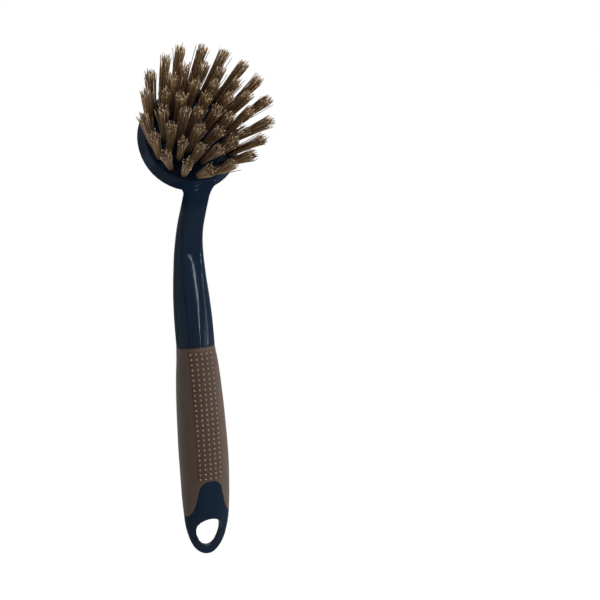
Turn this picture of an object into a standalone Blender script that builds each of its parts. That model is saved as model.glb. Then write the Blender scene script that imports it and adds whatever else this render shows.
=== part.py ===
"""Washing-up brush with a round head: handle moulding, rubber grip, back plate and tufts.

Frame: metres, +Z up along the handle with the head on top, bristles towards -Y.
The origin is the middle of the hanging hole near the handle's lower end.
"""
import math
import random

import bmesh
import bpy
from mathutils import Matrix, Vector

# Shared values
CLEARANCE = 0.0003
OVERRUN = 0.0040
SEED = 7

# Grip and hanging loop, measured from the middle of the hanging hole
LOOP_DROP = 0.0145
GRIP_TOP = 0.1112
GRIP_WIDTH = 0.0288
GRIP_DEPTH = 0.0228
GRIP_SETBACK = 0.0070
GRIP_WALL = 0.0026
BACK_CROWN = 0.0018
SECTION_POWER = 2.3

# Tongue of the handle that shows through the rubber
TONGUE_TOP = 0.0334
TONGUE_WIDTH = 0.0156
LOBE_TIP = 0.0092
LOBE_FRONT = 0.0000
LOBE_BACK = 0.0008

# Hanging hole
HOLE_WIDTH = 0.0160
HOLE_HEIGHT = 0.0186

# Neck, from the top of the rubber to the head
NECK_BASE_WIDTH = 0.0221
NECK_BASE_DEPTH = 0.0213
NECK_BASE_SETBACK = 0.0056
NECK_BASE_LEAN = math.radians(-1.9)
NECK_TOP_WIDTH = 0.0140
NECK_TOP_DEPTH = 0.0078
NECK_STRAIGHT = 0.0283
NECK_SWAY_RADIUS = 0.1000
NECK_SWAY_LEAN = math.radians(10.0)
NECK_BEND_RADIUS = 0.0413
NECK_LEAN = math.radians(47.0)
NECK_REACH = 0.0172
NECK_END = 0.0060
NECK_ENTRY = 0.0120
NECK_FILLET = 0.0070
NECK_BASE_POWER = 2.1
NECK_TOP_POWER = 3.4
NECK_FRONT_POWER = 2.5
NECK_PANEL_SHARE = 0.79
NECK_PANEL_EDGE = 0.0005
CORE_LAP = 0.0100

# Head block, seen square to its face
HEAD_TILT = math.radians(14.2)
HEAD_RADIUS = 0.0284
HEAD_THICKNESS = 0.0080
HEAD_EDGE = 0.0012
HEAD_BACK_EDGE = 0.0004
HEAD_STEP = 0.0004
HEAD_DRAFT = 0.0019
HEAD_BEND_RADIUS = 0.0100
RECESS_RADIUS = 0.0100
RECESS_DEPTH = 0.0016

# Back plate with its scraper
PLATE_THICKNESS = 0.0022
PLATE_INSET = 0.0006
PLATE_EDGE = 0.0010
SCRAPER_WIDTH = 0.0230
SCRAPER_POINT = 0.0010
SCRAPER_RISE = 0.0022
SCRAPER_HEIGHT = 0.0026
SCRAPER_RIDGE = 0.0017
SCRAPER_TIP = 0.0065
SCRAPER_SINK = 0.0002

# Tufts, set in rings round the head's middle
TUFT_CIRCLE_RADIUS = 0.0224
TUFT_RADIUS = 0.0017
TUFT_LENGTH = 0.0358
TUFT_FAN = math.radians(17.2)
TUFT_LIFT = math.radians(4.2)
TUFT_SWEEP = math.radians(5.0)
TUFT_FLARE = 1.75
TUFT_SETTING = 0.0050
TUFT_PROUD = 0.0006
STRAND_GAP = 0.00010
STRAND_RAGGEDNESS = 0.0012
STRANDS_ACROSS = 3

# Mesh fineness and the turns between which the crease of the grip lies
GRIP_SEGMENTS = 32
BACK_SEGMENTS = 10
CORE_SEGMENTS = 20
NECK_SEGMENTS = 28
NECK_SIDE_STEPS = 3
HEAD_SEGMENTS = 48
BORE_SEGMENTS = 12
ARC_STEP = math.radians(5.0)
EDGE_STEPS = 3
STRAIGHT_STEP = 0.0055
LEAST_CREASE_TURN = math.radians(2.0)
MOST_CREASE_TURN = math.radians(50.0)
CREASE_HALVINGS = 30

# Outline of the handle: height, setback, width and depth. A height below the hole is a
# share of LOOP_DROP, one above it a share of GRIP_TOP
LOOP_SHARES = (
    (-1.00, -0.47, 0.14, 0.070),
    (-0.95, -0.47, 0.28, 0.095),
    (-0.87, -0.47, 0.39, 0.115),
    (-0.79, -0.46, 0.475, 0.130),
    (-0.655, -0.42, 0.58, 0.160),
    (-0.45, -0.30, 0.685, 0.230),
    (-0.24, -0.20, 0.765, 0.295),
    (0.00, -0.10, 0.83, 0.360),
)
GRIP_SHARES = (
    (0.036, 0.02, 0.89, 0.432),
    (0.067, 0.14, 0.92, 0.522),
    (0.112, 0.29, 0.945, 0.635),
    (0.157, 0.38, 0.965, 0.735),
    (0.202, 0.46, 0.98, 0.808),
    (0.247, 0.54, 0.985, 0.870),
    (0.301, 0.65, 0.99, 0.933),
    (0.355, 0.75, 0.997, 0.963),
    (0.427, 0.82, 1.00, 0.987),
    (0.517, 0.89, 0.985, 1.00),
    (0.607, 0.94, 0.965, 1.00),
    (0.697, 0.99, 0.94, 0.99),
    (0.787, 1.01, 0.902, 0.965),
    (0.841, 1.02, 0.876, 0.935),
    (0.877, 1.01, 0.855, 0.905),
    (0.908, 0.985, 0.832, 0.885),
    (0.935, 0.92, 0.808, 0.905),
    (0.953, 0.84, 0.792, 0.928),
    (0.976, 0.78, 0.774, 0.930),
    (1.00, 0.77, 0.757, 0.920),
)
# Flat of the handle's back: height as a share of GRIP_TOP, then as shares of the half depth
# what the flat takes off and how far behind the middle the section is widest, and the share
# of BACK_CROWN that the flat keeps
FLAT_SHARES = (
    (-0.16, 0.10, 0.20, 0.20),
    (-0.05, 0.16, 0.30, 0.50),
    (0.00, 0.17, 0.34, 0.80),
    (0.15, 0.18, 0.28, 1.00),
    (0.30, 0.19, 0.22, 1.00),
    (0.75, 0.19, 0.22, 1.00),
    (0.84, 0.17, 0.18, 0.80),
    (0.90, 0.10, 0.10, 0.50),
    (0.95, 0.03, 0.03, 0.20),
    (0.98, 0.00, 0.00, 0.10),
    (1.00, 0.00, 0.00, 0.00),
)
# Neck taper: travel along the neck, then how much of the base's extra width and depth is left,
# and how much of the round section's fall is left at the edges of the front panel
NECK_TAPER_SHARES = (
    (0.00, 1.00, 1.00, 1.00),
    (0.08, 0.99, 0.97, 0.70),
    (0.13, 0.975, 0.93, 0.50),
    (0.195, 0.90, 0.85, 0.34),
    (0.26, 0.81, 0.75, 0.25),
    (0.33, 0.65, 0.61, 0.21),
    (0.405, 0.48, 0.48, 0.20),
    (0.48, 0.32, 0.35, 0.20),
    (0.545, 0.18, 0.25, 0.22),
    (0.63, 0.08, 0.14, 0.25),
    (0.73, 0.02, 0.07, 0.28),
    (0.82, 0.00, 0.02, 0.30),
    (1.00, 0.00, 0.00, 0.30),
)
# Half outline of the tongue's edge in front, then behind: distance from the middle as a share
# of half TONGUE_WIDTH, and height as a share of the rise from LOBE_TIP to TONGUE_TOP
TONGUE_SHARES = (
    (0.00, 1.00, 0.00, 0.96),
    (0.31, 0.99, 0.31, 0.94),
    (0.565, 0.945, 0.51, 0.875),
    (0.77, 0.86, 0.63, 0.79),
    (0.87, 0.70, 0.745, 0.65),
    (1.00, 0.50, 0.92, 0.455),
    (1.14, 0.325, 1.08, 0.28),
    (1.31, 0.20, 1.26, 0.14),
    (1.49, 0.125, 1.49, 0.00),
    (1.67, 0.09, 1.67, 0.09),
    (2.40, 0.09, 2.40, 0.09),
)
# Hanging hole: height as a share of half HOLE_HEIGHT, half width as a share of half HOLE_WIDTH
HOLE_SHARES = (
    (-1.00, 0.10),
    (-0.94, 0.30),
    (-0.78, 0.52),
    (-0.45, 0.76),
    (-0.05, 0.95),
    (0.30, 1.00),
    (0.60, 0.92),
    (0.82, 0.70),
    (0.95, 0.38),
    (1.00, 0.10),
)
# How far the core runs down beside the hanging hole, as a share of LOOP_DROP
CORE_END_SHARE = 0.38
# Rings of tufts from the rim inwards: radius as a share of TUFT_CIRCLE_RADIUS, how many, and
# the first tuft's place after the lowest point as a share of the space between two
TUFT_RING_SHARES = (
    (1.00, 18, 0.0),
    (0.69, 15, 0.5),
    (0.40, 8, 0.5),
    (0.16, 3, 0.5),
)
# The scraper's ridge from its point to its blade: the way up as a share of the whole, width
# as a share of the way from SCRAPER_POINT to SCRAPER_WIDTH, height as a share of SCRAPER_RIDGE
RIDGE_SHARES = (
    (0.0, 0.0, 0.0),
    (0.5, 0.5, 0.8),
    (1.0, 1.0, 1.0),
)


def clear_scene():
    for item in list(bpy.data.objects):
        bpy.data.objects.remove(item, do_unlink=True)


def material(name, colour, roughness, metallic=0.0):
    made = bpy.data.materials.new(name)
    made.use_nodes = True
    shader = made.node_tree.nodes["Principled BSDF"]
    shader.inputs["Base Color"].default_value = (*colour, 1.0)
    shader.inputs["Roughness"].default_value = roughness
    shader.inputs["Metallic"].default_value = metallic
    return made


def object_from(name, builder, paint):
    """Object that holds a finished mesh, smooth apart from its real edges."""
    mesh = bpy.data.meshes.new(name)
    builder.to_mesh(mesh)
    builder.free()
    mesh.materials.append(paint)
    mesh.shade_smooth()
    mesh.set_sharp_from_angle(angle=math.radians(30.0))
    made = bpy.data.objects.new(name, mesh)
    bpy.context.collection.objects.link(made)
    return made


def tool_from(name, builder):
    """Object that only shapes others."""
    mesh = bpy.data.meshes.new(name)
    builder.to_mesh(mesh)
    builder.free()
    made = bpy.data.objects.new(name, mesh)
    made.hide_render = True
    made.display_type = "WIRE"
    bpy.context.collection.objects.link(made)
    return made


def combine(target, tool, operation):
    change = target.modifiers.new(operation.lower() + "_" + tool.name, "BOOLEAN")
    change.operation = operation
    change.solver = "EXACT"
    change.object = tool


def slope_at(table, row, column):
    """Slope through a row's neighbours, level at a peak so that the curve doesn't overshoot."""
    before = table[max(row - 1, 0)]
    after = table[min(row + 1, len(table) - 1)]
    here = table[row]
    if (here[column] - before[column]) * (after[column] - here[column]) < 0:
        return 0.0
    return (after[column] - before[column]) / (after[0] - before[0])


def read_table(table, place):
    """Values of every column at one place, on a smooth curve through the rows."""
    if place <= table[0][0]:
        return table[0][1:]
    if place >= table[-1][0]:
        return table[-1][1:]
    upper = next(index for index, row in enumerate(table) if row[0] > place)
    lower = upper - 1
    span = table[upper][0] - table[lower][0]
    share = (place - table[lower][0]) / span
    rest = 1 - share
    values = []
    for column in range(1, len(table[0])):
        value = table[lower][column] * (1 + 2 * share) * rest ** 2
        value += table[upper][column] * (3 - 2 * share) * share ** 2
        value += slope_at(table, lower, column) * span * share * rest ** 2
        value -= slope_at(table, upper, column) * span * rest * share ** 2
        values.append(value)
    return values


def signed_power(value, exponent):
    return math.copysign(abs(value) ** exponent, value)


def loft(rings):
    """Closed solid through rings of equal length, with flat ends."""
    builder = bmesh.new()
    loops = [[builder.verts.new(point) for point in ring] for ring in rings]
    count = len(loops[0])
    for lower, upper in zip(loops, loops[1:]):
        for index in range(count):
            after = (index + 1) % count
            builder.faces.new((lower[index], lower[after], upper[after], upper[index]))
    builder.faces.new(loops[0])
    builder.faces.new(loops[-1])
    bmesh.ops.recalc_face_normals(builder, faces=builder.faces)
    return builder


def prism(outline, half_depth):
    """Closed solid of an outline in X and Z, as deep on both sides of the XZ plane."""
    return loft([[(x, side * half_depth, z) for x, z in outline] for side in (-1, 1)])


def turned(profile, segments):
    """Closed solid turned about the local Z axis from (radius, height) points."""
    turns = [math.tau * index / segments for index in range(segments)]
    return loft([[(radius * math.cos(turn), radius * math.sin(turn), height) for turn in turns]
                 for radius, height in profile])


def rounded_edge(radius, height, edge, outward):
    """Quarter arc of a disc's edge, from its side to its face on the outward side."""
    turns = [math.pi / 2 * step / EDGE_STEPS for step in range(EDGE_STEPS + 1)]
    return [(radius - edge + edge * math.cos(turn), height + outward * edge * (math.sin(turn) - 1))
            for turn in turns]


# Handle below the neck

def handle_table():
    rows = [(row[0] * LOOP_DROP, *row[1:]) for row in LOOP_SHARES]
    rows += [(row[0] * GRIP_TOP, *row[1:]) for row in GRIP_SHARES]
    return [(height, setback * GRIP_SETBACK, width * GRIP_WIDTH / 2, depth * GRIP_DEPTH / 2)
            for height, setback, width, depth in rows]


def handle_section(height, shrink, segments):
    """Ring at a height: a deep round belly in front and a crowned flat behind."""
    setback, half_width, half_depth = read_table(handle_table(), height)
    taken, middle, crown = read_table(FLAT_SHARES, height / GRIP_TOP)
    back = half_depth - setback - shrink
    widest = middle * half_depth - setback
    back_reach = back + taken * half_depth - widest
    front_reach = widest + setback + half_depth - shrink
    width = half_width - shrink

    def flat(x):
        return back - crown * BACK_CROWN * (x / width) ** 2

    def body(x):
        inside = max(1 - abs(x / width) ** SECTION_POWER, 0.0)
        return widest + back_reach * inside ** (1 / SECTION_POWER)

    edge = width * math.cos(crease_turn(width, flat, body))
    start = math.acos(signed_power(edge / width, SECTION_POWER / 2))
    behind = BACK_SEGMENTS * segments // GRIP_SEGMENTS
    before = segments - behind
    ring = []
    for index in range(behind):
        x = edge * (1 - 2 * index / behind)
        ring.append((x, min(flat(x), body(x)), height))
    for index in range(before):
        turn = math.pi - start + index * (math.pi + 2 * start) / before
        x = width * signed_power(math.cos(turn), 2 / SECTION_POWER)
        if math.sin(turn) > 0:
            y = min(body(x), flat(x))
        else:
            y = widest + front_reach * signed_power(math.sin(turn), 2 / SECTION_POWER)
        ring.append((x, y, height))
    return ring


def crease_turn(width, flat, body):
    """Turn at which the belly's curve meets the flat of the back."""
    low = LEAST_CREASE_TURN
    high = MOST_CREASE_TURN
    for _ in range(CREASE_HALVINGS):
        middle = (low + high) / 2
        x = width * math.cos(middle)
        if body(x) < flat(x):
            low = middle
        else:
            high = middle
    return low


def heights_between(low, high, step):
    """The table's heights inside a range, with its two ends and extra rows where they are sparse."""
    inside = [row[0] for row in handle_table() if low < row[0] < high]
    heights = [low]
    for height in inside + [high]:
        gap = height - heights[-1]
        extra = int(gap / step)
        start = heights[-1]
        heights += [start + gap * index / (extra + 1) for index in range(1, extra + 1)]
        heights.append(height)
    return heights


def handle_loft(low, high, shrink, segments, step):
    heights = heights_between(low, high, step)
    return loft([handle_section(height, shrink, segments) for height in heights])


def tongue_edge(offset, side):
    """Edge between rubber and tongue on one side, from left to right, moved outwards by offset."""
    rise = TONGUE_TOP - LOBE_TIP
    half = [(row[2 * side] * TONGUE_WIDTH / 2, LOBE_TIP + row[2 * side + 1] * rise)
            for row in TONGUE_SHARES]
    edge = [(-x, z) for x, z in reversed(half[1:])] + half
    moved = []
    for index, (x, z) in enumerate(edge):
        before = edge[max(index - 1, 0)]
        after = edge[min(index + 1, len(edge) - 1)]
        along = Vector((after[0] - before[0], after[1] - before[1])).normalized()
        moved.append((x - along.y * offset, z + along.x * offset))
    return moved


def tongue_tool(offset, level):
    """Closed solid from the tongue's edge to a level, with one outline in front and one behind."""
    rings = []
    for y, side in ((-GRIP_DEPTH, 0), (LOBE_FRONT, 0), (LOBE_BACK, 1), (GRIP_DEPTH, 1)):
        edge = tongue_edge(offset, side)
        outline = edge + [(edge[-1][0], level), (edge[0][0], level)]
        rings.append([(x, y, z) for x, z in outline])
    return loft(rings)


def above_tongue():
    return tongue_tool(0.0, TONGUE_TOP + 2 * OVERRUN)


def below_tongue():
    return tongue_tool(CLEARANCE, -LOOP_DROP - OVERRUN)


def hanging_hole():
    half = [(width * HOLE_WIDTH / 2, height * HOLE_HEIGHT / 2) for height, width in HOLE_SHARES]
    return prism(half + [(-x, z) for x, z in reversed(half)], GRIP_DEPTH)


# Neck

def neck_path():
    """Stations along the neck from the grip's top into the head: Y, Z, lean and travel."""
    stations = []
    place = Vector((-NECK_BASE_SETBACK, GRIP_TOP))
    lean = NECK_BASE_LEAN
    travel = 0.0

    def straight(length, step):
        nonlocal place, travel
        steps = max(int(round(length / step)), 1)
        for _ in range(steps):
            place = place + Vector((-math.sin(lean), math.cos(lean))) * length / steps
            travel += length / steps
            stations.append((place.x, place.y, lean, travel))

    def bend(radius, angle):
        nonlocal place, lean, travel
        steps = max(int(round(abs(angle) / ARC_STEP)), 2)
        part = angle / steps
        chord = 2 * radius * math.sin(abs(part) / 2)
        for _ in range(steps):
            heading = lean + part / 2
            place = place + Vector((-math.sin(heading), math.cos(heading))) * chord
            lean += part
            travel += radius * abs(part)
            stations.append((place.x, place.y, lean, travel))

    stations.append((place.x, place.y, 0.0, travel))
    straight(NECK_STRAIGHT, STRAIGHT_STEP)
    bend(NECK_SWAY_RADIUS, NECK_SWAY_LEAN - NECK_BASE_LEAN)
    bend(NECK_BEND_RADIUS, NECK_LEAN - NECK_SWAY_LEAN)
    straight(NECK_REACH, STRAIGHT_STEP / 2)
    bend(HEAD_BEND_RADIUS, -HEAD_TILT - NECK_LEAN)
    straight(NECK_END, STRAIGHT_STEP)
    return stations


def head_matrix():
    """Frame of the head: its front face's middle, X, up along the face and out with the bristles."""
    y, z, _, _ = neck_path()[-1]
    up = Vector((0.0, math.sin(HEAD_TILT), math.cos(HEAD_TILT)))
    out = Vector((0.0, -math.cos(HEAD_TILT), math.sin(HEAD_TILT)))
    middle = Vector((0.0, y, z)) + up * (HEAD_RADIUS - NECK_ENTRY) + out * HEAD_THICKNESS / 2
    columns = (Vector((1.0, 0.0, 0.0)), up, out)
    turn = Matrix([[column[row] for column in columns] for row in range(3)]).to_4x4()
    return Matrix.Translation(middle) @ turn


def neck_section(station, grow, length):
    y, z, lean, travel = station
    wide, deep, fall = read_table(NECK_TAPER_SHARES, travel / length)
    half_width = (NECK_TOP_WIDTH + wide * (NECK_BASE_WIDTH - NECK_TOP_WIDTH)) / 2 + grow
    half_depth = (NECK_TOP_DEPTH + deep * (NECK_BASE_DEPTH - NECK_TOP_DEPTH)) / 2 + grow
    exponent = NECK_TOP_POWER + deep * (NECK_BASE_POWER - NECK_TOP_POWER)
    front_exponent = NECK_FRONT_POWER + deep * (NECK_BASE_POWER - NECK_FRONT_POWER)
    entered = travel - (length - NECK_ENTRY)
    widened = fillet_growth(entered)
    half_width += widened
    panel = NECK_PANEL_SHARE * NECK_TOP_WIDTH / 2 + grow + widened
    if entered > 0:
        half_depth = min(half_depth, HEAD_THICKNESS / 2 - HEAD_STEP + grow)
    outline = []
    for index in range(NECK_SEGMENTS // 2 + 1):
        turn = math.tau * index / NECK_SEGMENTS
        outline.append((half_width * signed_power(math.cos(turn), 2 / exponent),
                        half_depth * signed_power(math.sin(turn), 2 / exponent)))
    outline += neck_front(half_width, half_depth, panel, fall, front_exponent)
    return [(x, y + depth * math.cos(lean), z + depth * math.sin(lean)) for x, depth in outline]


def neck_front(half_width, half_depth, panel, fall, exponent):
    """Front of the neck's section from left to right, without its ends: a crowned panel between
    two edges, and the sides that run from them to the widest place."""
    drop = 1 - (1 - (panel / half_width) ** exponent) ** (1 / exponent)
    crown = fall * drop * half_depth
    reach = (half_depth - crown) / (1 - drop)
    last = math.acos(((panel + NECK_PANEL_EDGE) / half_width) ** (exponent / 2))
    side = []
    for step in range(1, NECK_SIDE_STEPS + 1):
        turn = last * step / NECK_SIDE_STEPS
        side.append((half_width * math.cos(turn) ** (2 / exponent),
                     -reach * math.sin(turn) ** (2 / exponent)))
    steps = NECK_SEGMENTS // 2 - 2 * NECK_SIDE_STEPS - 2
    middle = []
    for step in range(steps + 1):
        x = (panel - NECK_PANEL_EDGE) * (2 * step / steps - 1)
        middle.append((x, crown * (x / panel) ** 2 - half_depth))
    return [(-x, depth) for x, depth in side] + middle + list(reversed(side))


def fillet_growth(entered):
    """How much wider the neck is on each side where its fillets run into the head's rim."""
    outer = HEAD_RADIUS + NECK_FILLET
    below = math.sqrt(outer ** 2 - (NECK_TOP_WIDTH / 2 + NECK_FILLET) ** 2)
    touch = below * NECK_FILLET / outer
    travelled = min(max(entered + below - HEAD_RADIUS, 0.0), touch)
    return NECK_FILLET - math.sqrt(NECK_FILLET ** 2 - travelled ** 2)


def neck_loft(grow):
    stations = neck_path()
    return loft([neck_section(station, grow, stations[-1][3]) for station in stations])


# Head

def head_block():
    back = -HEAD_THICKNESS
    profile = list(reversed(rounded_edge(HEAD_RADIUS, back, HEAD_BACK_EDGE, -1)))
    profile += rounded_edge(HEAD_RADIUS - HEAD_DRAFT, 0.0, HEAD_EDGE, 1)
    return turned(profile, HEAD_SEGMENTS)


def tuft_places():
    """Ring number, number in the ring and frame of every tuft."""
    for ring, (share, count, start) in enumerate(TUFT_RING_SHARES):
        for index in range(count):
            turn = math.tau * (index + start) / count - math.pi / 2
            yield ring + 1, index + 1, tuft_matrix(turn, share)


def tuft_matrix(turn, share):
    """Frame of a tuft in the head's frame. Z leaves the face, fanned outwards and swept round it
    by the ring's share, and all tufts lean up a little together."""
    radius = share * TUFT_CIRCLE_RADIUS
    place = Matrix.Translation((radius * math.cos(turn), radius * math.sin(turn), 0.0))
    return (place @ Matrix.Rotation(-TUFT_LIFT, 4, "X") @ Matrix.Rotation(turn, 4, "Z")
            @ Matrix.Rotation(share * TUFT_SWEEP, 4, "X") @ Matrix.Rotation(share * TUFT_FAN, 4, "Y"))


def tuft_bores():
    """All tuft holes, drilled along the tufts they hold."""
    builder = bmesh.new()
    for _, _, frame in tuft_places():
        place = frame @ Matrix.Translation((0.0, 0.0, (OVERRUN - TUFT_SETTING - CLEARANCE) / 2))
        bmesh.ops.create_cone(builder, cap_ends=True, segments=BORE_SEGMENTS,
                              radius1=TUFT_RADIUS + CLEARANCE, radius2=TUFT_RADIUS + CLEARANCE,
                              depth=OVERRUN + TUFT_SETTING + CLEARANCE, matrix=place)
    return builder


def tuft(draw):
    """Root plug of a tuft with its strands, one solid grown from a rounded grid."""
    builder = bmesh.new()
    bmesh.ops.create_grid(builder, x_segments=STRANDS_ACROSS, y_segments=STRANDS_ACROSS, size=1.0)
    for vertex in builder.verts:
        x, y = vertex.co.x, vertex.co.y
        rounded = Vector((x * math.sqrt(1 - y * y / 2), y * math.sqrt(1 - x * x / 2), 0.0))
        vertex.co = rounded * TUFT_RADIUS
        vertex.co.z = TUFT_PROUD
    cells = list(builder.faces)
    grown = bmesh.ops.extrude_face_region(builder, geom=cells)["geom"]
    bottom = [item for item in grown if isinstance(item, bmesh.types.BMFace)]
    for vertex in {vertex for face in bottom for vertex in face.verts}:
        vertex.co.z = -TUFT_SETTING
    bmesh.ops.dissolve_faces(builder, faces=bottom)
    bmesh.ops.recalc_face_normals(builder, faces=builder.faces)
    roots = [face for face in builder.faces if face.normal.z > 0.5]
    bmesh.ops.inset_individual(builder, faces=roots, thickness=STRAND_GAP)
    tips = bmesh.ops.extrude_discrete_faces(builder, faces=roots)["faces"]
    for face in tips:
        middle = face.calc_center_median()
        length = TUFT_LENGTH - draw.random() * STRAND_RAGGEDNESS
        spread = Vector((middle.x, middle.y, 0.0)) * (TUFT_FLARE - 1)
        for vertex in face.verts:
            vertex.co += spread
            vertex.co.z = length
    bmesh.ops.recalc_face_normals(builder, faces=builder.faces)
    return builder


# Back plate

def plate_disc():
    front = -HEAD_THICKNESS - CLEARANCE
    back = front - PLATE_THICKNESS
    radius = HEAD_RADIUS - PLATE_INSET
    profile = list(reversed(rounded_edge(radius, back, PLATE_EDGE, -1)))
    profile.append((radius, front))
    profile.append((RECESS_RADIUS - CLEARANCE, front))
    profile.append((RECESS_RADIUS - CLEARANCE, front + RECESS_DEPTH))
    return turned(profile, HEAD_SEGMENTS)


def scraper():
    """Ridge that grows from the plate's middle and stands above its rim as a blade."""
    back = -HEAD_THICKNESS - CLEARANCE - PLATE_THICKNESS
    front = back + PLATE_THICKNESS - SCRAPER_SINK
    top = HEAD_RADIUS - PLATE_INSET + SCRAPER_RISE
    kick = top - SCRAPER_TIP
    stations = [(way * kick, (SCRAPER_POINT + wide * (SCRAPER_WIDTH - SCRAPER_POINT)) / 2,
                 high * (SCRAPER_RIDGE + SCRAPER_SINK) - SCRAPER_SINK)
                for way, wide, high in RIDGE_SHARES]
    stations.append((top, SCRAPER_WIDTH / 2, SCRAPER_HEIGHT))
    return loft([[(-width, up, front), (width, up, front), (width, up, back - height),
                  (-width, up, back - height)] for up, width, height in stations])


def recess():
    back = -HEAD_THICKNESS
    return turned([(RECESS_RADIUS, back - OVERRUN),
                   (RECESS_RADIUS, back + RECESS_DEPTH)], HEAD_SEGMENTS)


# Assembly

def build_handle(paint, head):
    """Neck, head block, core inside the grip and hanging loop: one moulding."""
    loop = handle_loft(-LOOP_DROP, TONGUE_TOP + OVERRUN, 0.0, GRIP_SEGMENTS, STRAIGHT_STEP)
    core = handle_loft(-CORE_END_SHARE * LOOP_DROP, GRIP_TOP + CORE_LAP, GRIP_WALL, CORE_SEGMENTS,
                       2 * STRAIGHT_STEP)
    handle = object_from("handle", loop, paint)
    in_head = head.matrix_world.copy()
    tools = (
        ("above_tongue", above_tongue(), Matrix.Identity(4), "DIFFERENCE"),
        ("core", core, Matrix.Identity(4), "UNION"),
        ("neck", neck_loft(0.0), Matrix.Identity(4), "UNION"),
        ("head_block", head_block(), in_head, "UNION"),
        ("recess", recess(), in_head, "DIFFERENCE"),
        ("tuft_bores", tuft_bores(), in_head, "DIFFERENCE"),
        ("hanging_hole", hanging_hole(), Matrix.Identity(4), "DIFFERENCE"),
    )
    for name, builder, place, operation in tools:
        tool = tool_from(name, builder)
        tool.matrix_world = place
        combine(handle, tool, operation)
    return handle


def build_grip(paint):
    """Rubber sleeve moulded round the core, with a lobe down each side of the tongues."""
    skin = handle_loft(-OVERRUN, GRIP_TOP - CLEARANCE, 0.0, GRIP_SEGMENTS, STRAIGHT_STEP)
    bore = handle_loft(-2 * OVERRUN, GRIP_TOP, GRIP_WALL - CLEARANCE, CORE_SEGMENTS, 2 * STRAIGHT_STEP)
    grip = object_from("grip_sleeve", skin, paint)
    combine(grip, tool_from("below_tongue", below_tongue()), "DIFFERENCE")
    combine(grip, tool_from("grip_bore", bore), "DIFFERENCE")
    return grip


def build_plate(paint, head):
    """Cap over the head's back, cut round the neck, with the scraper on it."""
    plate = object_from("back_plate", plate_disc(), paint)
    plate.parent = head
    ridge = tool_from("scraper", scraper())
    ridge.parent = head
    combine(plate, ridge, "UNION")
    combine(plate, tool_from("neck_room", neck_loft(CLEARANCE)), "DIFFERENCE")
    return plate


def build_tufts(paint, head):
    draw = random.Random(SEED)
    for ring, number, frame in tuft_places():
        made = object_from("tuft_%d_%02d" % (ring, number), tuft(draw), paint)
        made.parent = head
        made.matrix_local = frame


def main():
    clear_scene()
    navy = material("navy_plastic", (0.012, 0.021, 0.034), 0.30)
    rubber = material("taupe_rubber", (0.105, 0.078, 0.058), 0.75)
    nylon = material("brown_nylon", (0.120, 0.072, 0.040), 0.50)
    head = bpy.data.objects.new("head_frame", None)
    bpy.context.collection.objects.link(head)
    head.matrix_world = head_matrix()
    bpy.context.view_layer.update()
    build_handle(navy, head)
    build_grip(rubber)
    build_plate(navy, head)
    build_tufts(nylon, head)


main()
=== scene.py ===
"""Washing-up brush on a plain pale ground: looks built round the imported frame."""
import math
import random
from collections import namedtuple

import bmesh
import bpy
import numpy as np
from mathutils import Matrix, Vector
from mathutils.bvhtree import BVHTree


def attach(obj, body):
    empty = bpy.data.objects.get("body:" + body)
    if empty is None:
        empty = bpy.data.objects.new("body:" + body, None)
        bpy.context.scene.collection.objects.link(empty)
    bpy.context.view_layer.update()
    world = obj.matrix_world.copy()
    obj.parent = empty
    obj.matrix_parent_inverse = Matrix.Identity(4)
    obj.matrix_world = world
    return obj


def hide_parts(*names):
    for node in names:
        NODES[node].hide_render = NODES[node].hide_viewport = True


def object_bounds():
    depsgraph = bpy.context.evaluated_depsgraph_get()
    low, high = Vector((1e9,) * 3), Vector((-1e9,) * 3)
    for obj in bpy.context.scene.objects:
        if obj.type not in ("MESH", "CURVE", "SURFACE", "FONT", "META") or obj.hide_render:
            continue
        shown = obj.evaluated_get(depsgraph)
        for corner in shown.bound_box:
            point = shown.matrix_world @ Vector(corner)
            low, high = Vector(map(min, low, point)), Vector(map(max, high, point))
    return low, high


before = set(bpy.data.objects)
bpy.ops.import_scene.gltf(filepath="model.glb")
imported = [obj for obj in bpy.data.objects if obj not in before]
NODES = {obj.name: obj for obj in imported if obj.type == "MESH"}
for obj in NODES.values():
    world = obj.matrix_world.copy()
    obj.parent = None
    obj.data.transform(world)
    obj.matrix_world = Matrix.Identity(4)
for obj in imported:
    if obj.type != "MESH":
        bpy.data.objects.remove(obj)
CAD_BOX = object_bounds()

# Lengths are in metres and colours are linear.

# Head: the middle of its face, its tilt and the tufts set in it, as the solids have them.
# A ring is its share of the outer ring's radius, its tufts, and how many steps its first is turned.
HEAD_FACE = Vector((0.0, -0.032469, 0.227392))
HEAD_TILT = math.radians(14.2)
TUFT_RINGS = ((1.00, 18, 0.0), (0.69, 15, 0.5), (0.40, 8, 0.5), (0.16, 3, 0.5))
TUFT_CIRCLE_RADIUS = 0.0224
TUFT_FAN = math.radians(17.2)
TUFT_LIFT = math.radians(4.2)
TUFT_SWEEP = math.radians(5.0)
TUFT_ROOT_RADIUS = 0.00165
TUFT_ROOT_DEPTH = 0.0008
TUFT_LENGTH = 0.0360

# Scatter of whole tufts: how far they open from root to tip, and the lean of their tips
SEED = 11
TUFT_OPENING = 1.40
TUFT_OPENING_SPREAD = 0.30
TUFT_LEAN = 0.0006
TUFT_LEAN_POWER = 1.3

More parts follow.
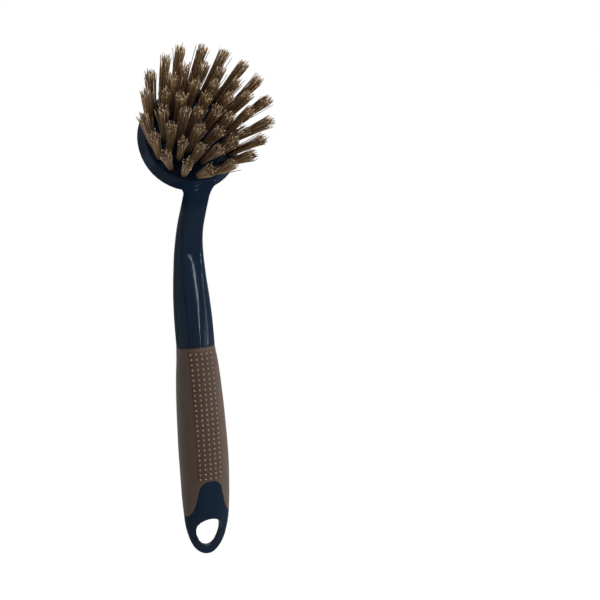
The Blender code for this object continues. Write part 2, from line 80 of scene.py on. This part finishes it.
# Filaments of a tuft, and their scatter
FIBRES = 56
FIBRE_RADIUS = 0.00017
FIBRE_END_SHARE = 0.8
FIBRE_SIDES = 5
FIBRE_STEPS = 6
FIBRE_STEP_POWER = 1.6
FIBRE_FLARE = 0.35
FIBRE_FLARE_POWER = 1.15
FIBRE_SHORTENING = 0.0028
FIBRE_SHORTENING_POWER = 1.5
FIBRE_LEAN = 0.00026
FIBRE_LEAN_POWER = 2
FIBRE_BOW = 0.00016
FIBRE_CURL = 0.00035
FIBRE_CURL_POWER = 9
STRAY_CHANCE = 0.05
STRAY_FLARE = 0.9
SHADE_MIDDLE = 0.5
SHADE_SPREAD = 0.24

# Joining of the solids' facets
WELD = 0.000002
FLAT_ANGLE = math.radians(0.3)
SHARP_ANGLE = math.radians(34.0)

# Pips of the grip. The profile gives shares of the radius and heights above the surface, which is
# found by rays from outside.
PIP_RADIUS = 0.00062
PIP_HEIGHT = 0.00045
PIP_SINK = 0.00012
PIP_SIDES = 10
PIP_PROFILE = ((1.00, -PIP_SINK), (0.94, 0.35 * PIP_HEIGHT), (0.72, 0.76 * PIP_HEIGHT),
               (0.38, 0.96 * PIP_HEIGHT))
RAY_START = 0.05

# Patches of pips: the way in along Y, their grid, and the darker field's half width and depth
Patch = namedtuple("Patch", "name inward columns top rows pitch half_width depth")
PATCHES = (
    Patch(name="grip_pips_front", inward=1.0, columns=(-0.006, -0.003, 0.0, 0.003, 0.006),
          top=0.1071, rows=26, pitch=0.002868, half_width=0.0074, depth=(-0.1, -0.004)),
    Patch(name="grip_pips_back", inward=-1.0, columns=(-0.003, 0.0, 0.003),
          top=0.0975, rows=9, pitch=0.00275, half_width=0.0044, depth=(-0.003, 0.1)))
FIELD_MARGIN = 0.0015
FIELD_SOFT_X = 0.0010
FIELD_SOFT_Y = 0.0003
FIELD_SOFT_Z = 0.0012

# Heights between which the neck's gloss is weaker and the grip has painted shade where it meets the
# neck, and their fading
NECK_TOP = (0.1895, 0.2030)
NECK_TOP_SOFT = 0.0030
GRIP_JOINT_SHADE = (0.11035, 0.2)
GRIP_JOINT_SHADE_SOFT = 0.00022

# Colours. A stop of a ramp is its place and its colour or value.
WHITE = (1.0, 1.0, 1.0)
NAVY_TONES = ((0.30, (0.0050, 0.0132, 0.0285)), (0.70, (0.0066, 0.0160, 0.0335)))
NAVY_GLOSS = ((0.35, 0.105), (0.75, 0.080))
NAVY_GLOSS_KEPT = ((0.0, 1.0), (1.0, 0.15))
NAVY_ROUGHNESS = ((0.35, 0.30), (0.75, 0.42))
RUBBER_TONES = ((0.30, (0.081, 0.054, 0.040)), (0.75, (0.095, 0.065, 0.048)))
FIELD_TONES = ((0.30, (0.058, 0.036, 0.024)), (0.75, (0.068, 0.043, 0.029)))
# Pale tone of the pips: partly their worn tops, partly a painted highlight on their domes
PIP_WEAR_AND_HIGHLIGHT_TONES = ((0.30, (0.235, 0.170, 0.122)), (0.75, (0.300, 0.222, 0.165)))
# Painted shade: a dark band on the grip where it meets the neck
JOINT_SHADE_TONE = (0.018, 0.013, 0.011)
RUBBER_ROUGHNESS = ((0.30, 0.58), (0.75, 0.72))
SHAFT_TONES = ((0.0, (0.164, 0.093, 0.043)), (0.55, (0.320, 0.204, 0.109)),
               (1.0, (0.512, 0.366, 0.220)))
# Painted shade: the filaments darker towards their root
ROOT_PAINTED_SHADE = ((0.0, (0.50, 0.47, 0.44)), (0.55, WHITE))
TIP_TONES = ((0.35, (0.16, 0.10, 0.055)), (0.60, (0.62, 0.47, 0.31)), (1.0, (0.90, 0.74, 0.55)))
TIP_START = ((0.955, 0.0), (0.985, 1.0))

# Grain of the surfaces, in waves to a metre
MOULDING_GRAIN = 2600.0
CAP_GRAIN = 3400.0
RUBBER_GRAIN = 4200.0
GRAIN_DEPTH = 0.0001

# Numbers of a Mix node's sockets when it mixes colours
MIX_SHARE, MIX_FIRST, MIX_SECOND, MIX_RESULT = 0, 6, 7, 2

# Ground: a floor well below the brush, and a surround, each with what it gives the brush and how
# it is seen
FLOOR_REACH = 4.0
FLOOR_DROP = 0.35
FLOOR_TONE = 0.8
FLOOR_SHOWN_TONE = 0.12
FLOOR_GLOW = 0.96
SURROUND_LIGHT = 0.40
SURROUND_SHOWN = 1.0

# Lamps: name, place, width, height, power, colour, and the setting that is turned off, if any, so
# that some rays pass the lamp by
LAMP_AIM = Vector((0.0, -0.01, 0.12))
PALE_BLUE = (0.55, 0.80, 1.0)
LAMPS = (
    ("key", (0.70, -0.62, 0.35), 0.5, 0.9, 6.8, WHITE, None),
    ("front", (0.05, -1.00, 0.30), 0.5, 0.9, 0.15, WHITE, None),
    ("side", (1.0, -0.25, 0.4), 0.7, 0.9, 1.2, WHITE, None),
    ("fill", (-0.9, -0.6, 0.35), 0.8, 0.9, 0.2, WHITE, "visible_glossy"),
    ("sheen", (-1.0, 0.09, 0.15), 1.2, 1.0, 6.4, PALE_BLUE, "visible_diffuse"),
    ("top", (0.1, -0.1, 1.1), 0.8, 0.8, 4.0, WHITE, None),
    ("rear", (0.3, 0.97, 0.5), 0.7, 0.9, 4.5, WHITE, None))

# Narrow lamps for the streaks of light on the neck, a metre away: name, angle round the brush
# from the front, lean and power, the angles in degrees
STRIPS = (("strip_left", 16.5, -10.0, 4.6), ("strip_right", 57.0, 0.0, 17.0))
STRIP_MIDDLE = 0.13
STRIP_WIDTH = 0.012
STRIP_LENGTH = 0.74
STRIP_COLOUR = (0.78, 0.90, 1.0)

# Camera, as solved from the photograph's left view. The lens and the sensor are in millimetres.
CAMERA_PLACE = (-0.12918, -0.47837, 0.18141)
CAMERA_RIGHT = Vector((0.957, -0.27896, -0.0796))
CAMERA_UP = Vector((0.09426, 0.03951, 0.99476))
CAMERA_LENS = 51.592
CAMERA_SENSOR = 36.0
CAMERA_SHIFT = (0.16642, -0.03878)
CAMERA_NEAR = 0.01


# Nodes of the materials

def new_material(name):
    made = bpy.data.materials.new(name)
    made.use_nodes = True
    tree = made.node_tree
    return made, tree, tree.nodes["Principled BSDF"]


def put(node, inputs):
    """Set a node's inputs, by name or number, or link them where a value is another's output."""
    for key, value in inputs.items():
        socket = node.inputs[key]
        if isinstance(value, bpy.types.NodeSocket):
            node.id_data.links.new(value, socket)
        else:
            socket.default_value = value


def add(tree, kind, inputs, output, **settings):
    """An output of a new node with these inputs and settings."""
    node = tree.nodes.new(kind)
    for key, value in settings.items():
        setattr(node, key, value)
    put(node, inputs)
    return node.outputs[output]


def object_place(tree):
    return add(tree, "ShaderNodeTexCoord", {}, "Object")


def object_axes(tree):
    """The coordinates of the object, by the names X, Y and Z."""
    axes = tree.nodes.new("ShaderNodeSeparateXYZ")
    put(axes, {"Vector": object_place(tree)})
    return axes.outputs


def object_noise(tree, scale, detail=2.0, roughness=0.5):
    """Noise that stays on the object, its scale in waves to a metre."""
    return add(tree, "ShaderNodeTexNoise", {"Vector": object_place(tree), "Scale": scale,
                                            "Detail": detail, "Roughness": roughness}, "Fac")


def point_value(tree, name):
    """A value that the mesh stores on its points."""
    return add(tree, "ShaderNodeAttribute", {}, "Fac", attribute_name=name)


def ramp(tree, value, stops):
    node = tree.nodes.new("ShaderNodeValToRGB")
    elements = node.color_ramp.elements
    while len(elements) < len(stops):
        elements.new(0.5)
    for element, (place, colour) in zip(elements, stops):
        element.position = place
        element.color = (*colour, 1.0)
    put(node, {"Fac": value})
    return node.outputs["Color"]


def grey_ramp(tree, value, stops):
    return ramp(tree, value, [(place, (level, level, level)) for place, level in stops])


def combine(tree, operation, first, second):
    return add(tree, "ShaderNodeMath", {0: first, 1: second}, "Value", operation=operation)


def mix(tree, share, first, second, blend="MIX"):
    """The first colour where the share is 0, and the second, or their blend, where it is 1."""
    return add(tree, "ShaderNodeMix", {MIX_SHARE: share, MIX_FIRST: first, MIX_SECOND: second},
               MIX_RESULT, data_type="RGBA", blend_type=blend)


def between(tree, coordinate, low, high, soft):
    """1 where a coordinate lies between two limits, fading over a soft edge."""
    edges = [add(tree, "ShaderNodeMapRange",
                 {"Value": coordinate, "From Min": start, "From Max": end}, "Result",
                 interpolation_type="SMOOTHSTEP")
             for start, end in ((low - soft, low + soft), (high + soft, high - soft))]
    return combine(tree, "MULTIPLY", *edges)


def pip_fields(tree):
    """Mask of the grip's two fields in which the pips stand."""
    axes = object_axes(tree)
    masks = []
    for patch in PATCHES:
        low = patch.top - (patch.rows - 1) * patch.pitch - FIELD_MARGIN
        across = between(tree, axes["X"], -patch.half_width, patch.half_width, FIELD_SOFT_X)
        along = between(tree, axes["Z"], low, patch.top + FIELD_MARGIN, FIELD_SOFT_Z)
        deep = between(tree, axes["Y"], *patch.depth, FIELD_SOFT_Y)
        masks.append(combine(tree, "MULTIPLY", combine(tree, "MULTIPLY", across, along), deep))
    return combine(tree, "MAXIMUM", *masks)


def grain(tree, scale, strength):
    """Surface normal with a fine grain."""
    return add(tree, "ShaderNodeBump", {"Height": object_noise(tree, scale),
                                        "Strength": strength, "Distance": GRAIN_DEPTH}, "Normal")


# Materials

def navy_plastic(name, grain_scale):
    """Satin moulded plastic: faint flow variation, fine grain, and a scuffed gloss that is weaker
    on the neck close to the head."""
    made, tree, shader = new_material(name)
    flow = object_noise(tree, scale=60.0, detail=3.0)
    scuff = object_noise(tree, scale=900.0, detail=4.0, roughness=0.6)
    close = between(tree, object_axes(tree)["Z"], *NECK_TOP, NECK_TOP_SOFT)
    gloss = combine(tree, "MULTIPLY", grey_ramp(tree, scuff, NAVY_GLOSS),
                    grey_ramp(tree, close, NAVY_GLOSS_KEPT))
    normal = grain(tree, grain_scale, strength=0.05)
    put(shader, {"Base Color": ramp(tree, flow, NAVY_TONES),
                 "Roughness": grey_ramp(tree, scuff, NAVY_ROUGHNESS),
                 "Specular IOR Level": 0.0,
                 "Coat Weight": gloss,
                 "Coat Roughness": 0.07,
                 "Normal": normal,
                 "Coat Normal": normal})
    return made


def soft_rubber(name, tones, marked):
    """Soft-touch rubber: fine matt grain and cloudy wear. The marked kind is darker in the fields
    of the pips, and has a band of painted shade at its top edge, where it meets the neck."""
    made, tree, shader = new_material(name)
    cloud = object_noise(tree, scale=90.0, detail=4.0, roughness=0.6)
    worn = object_noise(tree, scale=1400.0, detail=3.0, roughness=0.6)
    tone = ramp(tree, cloud, tones)
    if marked:
        tone = mix(tree, pip_fields(tree), tone, ramp(tree, cloud, FIELD_TONES))
        # Painted shade: a dark band at the grip's top edge, where it meets the neck
        joint_shade = between(tree, object_axes(tree)["Z"], *GRIP_JOINT_SHADE, GRIP_JOINT_SHADE_SOFT)
        tone = mix(tree, joint_shade, tone, (*JOINT_SHADE_TONE, 1.0))
    put(shader, {"Base Color": tone,
                 "Roughness": grey_ramp(tree, worn, RUBBER_ROUGHNESS),
                 "Specular IOR Level": 0.06,
                 "Sheen Weight": 0.10,
                 "Sheen Roughness": 0.5,
                 "Normal": grain(tree, RUBBER_GRAIN, strength=0.18)})
    return made


def filament(name):
    """Drawn nylon: brown shafts of different shades, with painted shade that darkens them towards
    the root, and pale ends.
    """
    made, tree, shader = new_material(name)
    along = point_value(tree, "along")
    shade = point_value(tree, "shade")
    # Painted shade: the shafts darker towards the root
    shaft = mix(tree, 1.0, ramp(tree, shade, SHAFT_TONES), ramp(tree, along, ROOT_PAINTED_SHADE),
                "MULTIPLY")
    tip = ramp(tree, shade, TIP_TONES)
    put(shader, {"Base Color": mix(tree, grey_ramp(tree, along, TIP_START), shaft, tip),
                 "Roughness": 0.42,
                 "Specular IOR Level": 0.06})
    return made


# Meshes

def mesh_object(name, points, faces, material):
    mesh = bpy.data.meshes.new(name)
    mesh.from_pydata(points, [], faces)
    mesh.materials.append(material)
    mesh.shade_smooth()
    mesh.validate()
    mesh.update()
    made = bpy.data.objects.new(name, mesh)
    bpy.context.scene.collection.objects.link(made)
    return made


def smooth_solid(name, node, material):
    """The solid of a node with its flat facets joined into smooth surfaces between real edges."""
    builder = bmesh.new()
    builder.from_mesh(NODES[node].data)
    bmesh.ops.remove_doubles(builder, verts=builder.verts, dist=WELD)
    bmesh.ops.dissolve_limit(builder, angle_limit=FLAT_ANGLE, verts=builder.verts,
                             edges=builder.edges)
    builder.verts.index_update()
    points = [vertex.co.copy() for vertex in builder.verts]
    faces = [[vertex.index for vertex in face.verts] for face in builder.faces]
    builder.free()
    made = mesh_object(name, points, faces, material)
    made.data.set_sharp_from_angle(angle=SHARP_ANGLE)
    evened = made.modifiers.new("even_normals", "WEIGHTED_NORMAL")
    evened.keep_sharp = True
    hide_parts(node)
    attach(made, "root")


def ring_faces(first, rings, sides):
    """Faces between rings of points that follow each other from the first point on."""
    faces = []
    for ring in range(rings - 1):
        low = first + ring * sides
        high = low + sides
        for side in range(sides):
            after = (side + 1) % sides
            faces.append((low + side, low + after, high + after, high + side))
    return faces


def turn_matrix(columns):
    return Matrix([[column[row] for column in columns] for row in range(3)]).to_4x4()


def head_matrix():
    """Frame of the head: X, up along its face, and out with the bristles."""
    up = Vector((0.0, math.sin(HEAD_TILT), math.cos(HEAD_TILT)))
    out = Vector((0.0, -math.cos(HEAD_TILT), math.sin(HEAD_TILT)))
    return Matrix.Translation(HEAD_FACE) @ turn_matrix((Vector((1.0, 0.0, 0.0)), up, out))


def tuft_matrix(turn, share):
    radius = share * TUFT_CIRCLE_RADIUS
    place = Matrix.Translation((radius * math.cos(turn), radius * math.sin(turn), 0.0))
    return (head_matrix() @ place @ Matrix.Rotation(-TUFT_LIFT, 4, "X")
            @ Matrix.Rotation(turn, 4, "Z") @ Matrix.Rotation(share * TUFT_SWEEP, 4, "X")
            @ Matrix.Rotation(share * TUFT_FAN, 4, "Y"))


def tuft_places():
    """Ring number, number in the ring and frame of every tuft, as the solids have them."""
    for ring, (share, count, start) in enumerate(TUFT_RINGS):
        for index in range(count):
            turn = math.tau * (index + start) / count - math.pi / 2
            yield ring + 1, index + 1, tuft_matrix(turn, share)


def step_share(step):
    """How far along a filament a ring of its points lies: closer together near the tip."""
    return 1 - (1 - step / FIBRE_STEPS) ** FIBRE_STEP_POWER


def fibre_path(draw, root, opening, tuft_lean):
    """Points of one filament in the tuft's frame, from its root to its tip."""
    stray = draw.random() < STRAY_CHANCE
    flare = opening + FIBRE_FLARE * draw.random()
    if stray:
        flare += STRAY_FLARE
    reach = TUFT_LENGTH - FIBRE_SHORTENING * draw.random() ** FIBRE_SHORTENING_POWER
    lean = [draw.gauss(0.0, FIBRE_LEAN) for _ in root]
    bow = [draw.gauss(0.0, FIBRE_BOW) for _ in root]
    curl = [draw.gauss(0.0, FIBRE_CURL) for _ in root]
    points = []
    for step in range(FIBRE_STEPS + 1):
        share = step_share(step)
        spread = 1 + (flare - 1) * share ** FIBRE_FLARE_POWER
        x, y = (root[axis] * spread
                + lean[axis] * share ** FIBRE_LEAN_POWER
                + bow[axis] * math.sin(math.pi * share)
                + tuft_lean[axis] * share ** TUFT_LEAN_POWER
                + curl[axis] * share ** FIBRE_CURL_POWER for axis in range(2))
        points.append(Vector((x, y, -TUFT_ROOT_DEPTH + (reach + TUFT_ROOT_DEPTH) * share)))
    return points


def fibre_tube(path, first, place):
    """Points and faces of one filament: a thin tube along its path, closed at both ends."""
    points = []
    for index, middle in enumerate(path):
        size = FIBRE_RADIUS * (1.0 if index < len(path) - 1 else FIBRE_END_SHARE)
        for side in range(FIBRE_SIDES):
            turn = math.tau * side / FIBRE_SIDES
            offset = Vector((math.cos(turn), math.sin(turn), 0.0)) * size
            points.append(place @ (middle + offset))
    faces = ring_faces(first, len(path), FIBRE_SIDES)
    faces.append([first + side for side in reversed(range(FIBRE_SIDES))])
    last = first + (len(path) - 1) * FIBRE_SIDES
    faces.append([last + side for side in range(FIBRE_SIDES)])
    return points, faces


def build_tufts(material):
    """A bundle of single filaments in place of each tuft node."""
    draw = random.Random(SEED)
    golden = math.pi * (3 - math.sqrt(5))
    for ring, number, place in tuft_places():
        points, faces, along, shade = [], [], [], []
        spin = draw.random() * math.tau
        opening = TUFT_OPENING + TUFT_OPENING_SPREAD * draw.random()
        lean = (draw.gauss(0.0, TUFT_LEAN), draw.gauss(0.0, TUFT_LEAN))
        for index in range(FIBRES):
            distance = TUFT_ROOT_RADIUS * math.sqrt((index + 0.5) / FIBRES)
            angle = spin + index * golden
            root = (distance * math.cos(angle), distance * math.sin(angle))
            path = fibre_path(draw, root, opening, lean)
            tube_points, tube_faces = fibre_tube(path, len(points), place)
            tone = min(max(draw.gauss(SHADE_MIDDLE, SHADE_SPREAD), 0.0), 1.0)
            points += tube_points
            faces += tube_faces
            for step in range(FIBRE_STEPS + 1):
                along += [step_share(step)] * FIBRE_SIDES
                shade += [tone] * FIBRE_SIDES
        made = mesh_object("fibres_%d_%02d" % (ring, number), points, faces, material)
        for name, values in (("along", along), ("shade", shade)):
            layer = made.data.attributes.new(name, "FLOAT", "POINT")
            layer.data.foreach_set("value", np.array(values, np.float32))
        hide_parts("tuft_%d_%02d" % (ring, number))
        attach(made, "root")


def surface_tree(node):
    mesh = NODES[node].data
    return BVHTree.FromPolygons([vertex.co for vertex in mesh.vertices],
                                [list(face.vertices) for face in mesh.polygons])


def add_pip(place, normal, points, faces):
    """One low dome on the surface."""
    turn = Vector((0.0, 0.0, 1.0)).rotation_difference(normal).to_matrix()
    first = len(points)
    for share, height in PIP_PROFILE:
        for side in range(PIP_SIDES):
            angle = math.tau * side / PIP_SIDES
            local = Vector((share * PIP_RADIUS * math.cos(angle),
                            share * PIP_RADIUS * math.sin(angle), height))
            points.append(place + turn @ local)
    points.append(place + normal * PIP_HEIGHT)
    top = len(points) - 1
    faces += ring_faces(first, len(PIP_PROFILE), PIP_SIDES)
    last = top - PIP_SIDES
    for side in range(PIP_SIDES):
        faces.append((last + side, last + (side + 1) % PIP_SIDES, top))
    faces.append([first + side for side in reversed(range(PIP_SIDES))])


def build_pips(material):
    """The raised dots of the grip, set on its surface from the front and from the back."""
    tree = surface_tree("grip_sleeve")
    for patch in PATCHES:
        points, faces = [], []
        for row in range(patch.rows):
            for column in patch.columns:
                start = Vector((column, -RAY_START * patch.inward, patch.top - row * patch.pitch))
                place, normal, _, _ = tree.ray_cast(start, Vector((0.0, patch.inward, 0.0)))
                if place is not None:
                    add_pip(place, normal, points, faces)
        made = mesh_object(patch.name, points, faces, material)
        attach(made, "root")


# Stage

def shown_rays(tree):
    """1 for the rays that see the ground white: the camera's and those of gloss and glass."""
    paths = tree.nodes.new("ShaderNodeLightPath").outputs
    seen = combine(tree, "MAXIMUM", paths["Is Camera Ray"], paths["Is Glossy Ray"])
    return combine(tree, "MAXIMUM", seen, paths["Is Transmission Ray"])


def diffuse(tree, level):
    return add(tree, "ShaderNodeBsdfDiffuse", {"Color": (level, level, level, 1.0)}, "BSDF")


def background(tree, strength):
    return add(tree, "ShaderNodeBackground", {"Color": (*WHITE, 1.0), "Strength": strength},
               "Background")


def build_stage():
    """A wide pale floor well below the brush, nearly white where it is seen."""
    level = CAD_BOX[0][2] - FLOOR_DROP
    corners = ((-1, -1), (1, -1), (1, 1), (-1, 1))
    mesh = bpy.data.meshes.new("floor")
    mesh.from_pydata([(x * FLOOR_REACH, y * FLOOR_REACH, level) for x, y in corners], [],
                     [(0, 1, 2, 3)])
    floor = bpy.data.objects.new("floor", mesh)
    bpy.context.scene.collection.objects.link(floor)
    made = bpy.data.materials.new("pale_floor")
    made.use_nodes = True
    tree = made.node_tree
    tree.nodes.clear()
    glow = add(tree, "ShaderNodeEmission", {"Color": (*WHITE, 1.0), "Strength": FLOOR_GLOW},
               "Emission")
    shown = add(tree, "ShaderNodeAddShader", {0: diffuse(tree, FLOOR_SHOWN_TONE), 1: glow},
                "Shader")
    surface = add(tree, "ShaderNodeMixShader",
                  {0: shown_rays(tree), 1: diffuse(tree, FLOOR_TONE), 2: shown}, "Shader")
    put(tree.nodes.new("ShaderNodeOutputMaterial"), {"Surface": surface})
    mesh.materials.append(made)


def build_world():
    """Soft even light from all round, which is white where it is seen."""
    world = bpy.data.worlds.new("studio")
    bpy.context.scene.world = world
    world.use_nodes = True
    tree = world.node_tree
    tree.nodes.clear()
    surface = add(tree, "ShaderNodeMixShader",
                  {0: shown_rays(tree), 1: background(tree, SURROUND_LIGHT),
                   2: background(tree, SURROUND_SHOWN)}, "Shader")
    put(tree.nodes.new("ShaderNodeOutputWorld"), {"Surface": surface})


def area_light(name, place, width, height, power, colour, turned_off):
    """A rectangular lamp that is aimed at the brush and that the camera doesn't see."""
    lamp = bpy.data.lights.new(name, "AREA")
    lamp.shape = "RECTANGLE"
    lamp.size = width
    lamp.size_y = height
    lamp.energy = power
    lamp.color = colour
    made = bpy.data.objects.new(name, lamp)
    made.location = place
    made.rotation_euler = (LAMP_AIM - Vector(place)).to_track_quat("-Z", "Y").to_euler()
    made.visible_camera = False
    if turned_off:
        setattr(made, turned_off, False)
    bpy.context.scene.collection.objects.link(made)
    return made


def build_lights():
    for lamp in LAMPS:
        area_light(*lamp)
    for name, angle, lean, power in STRIPS:
        turn = math.radians(angle)
        strip = area_light(name, (math.sin(turn), -math.cos(turn), STRIP_MIDDLE), STRIP_WIDTH,
                           STRIP_LENGTH, power, STRIP_COLOUR, "visible_diffuse")
        strip.rotation_euler.rotate_axis("Z", math.radians(lean))


def build_camera():
    """Close view from a little left of the bristles' front, as in the photograph's left view."""
    lens = bpy.data.cameras.new("view")
    lens.sensor_width = CAMERA_SENSOR
    lens.sensor_fit = "HORIZONTAL"
    lens.lens = CAMERA_LENS
    lens.shift_x, lens.shift_y = CAMERA_SHIFT
    lens.clip_start = CAMERA_NEAR
    turn = turn_matrix((CAMERA_RIGHT, CAMERA_UP, CAMERA_RIGHT.cross(CAMERA_UP)))
    made = bpy.data.objects.new("view", lens)
    made.matrix_world = Matrix.Translation(CAMERA_PLACE) @ turn
    bpy.context.scene.collection.objects.link(made)
    bpy.context.scene.camera = made


def main():
    moulding = navy_plastic("navy_moulding", MOULDING_GRAIN)
    cap = navy_plastic("navy_cap", CAP_GRAIN)
    rubber = soft_rubber("taupe_rubber", RUBBER_TONES, True)
    # The pips' pale tone is partly wear and partly a painted highlight
    pips = soft_rubber("pip_rubber", PIP_WEAR_AND_HIGHLIGHT_TONES, False)
    nylon = filament("brown_filament")
    smooth_solid("handle_moulding", "handle", moulding)
    smooth_solid("cap_moulding", "back_plate", cap)
    smooth_solid("grip_rubber", "grip_sleeve", rubber)
    build_tufts(nylon)
    build_pips(pips)
    build_stage()
    build_world()
    build_lights()
    build_camera()
    bpy.context.scene.view_settings.view_transform = "Standard"


main()
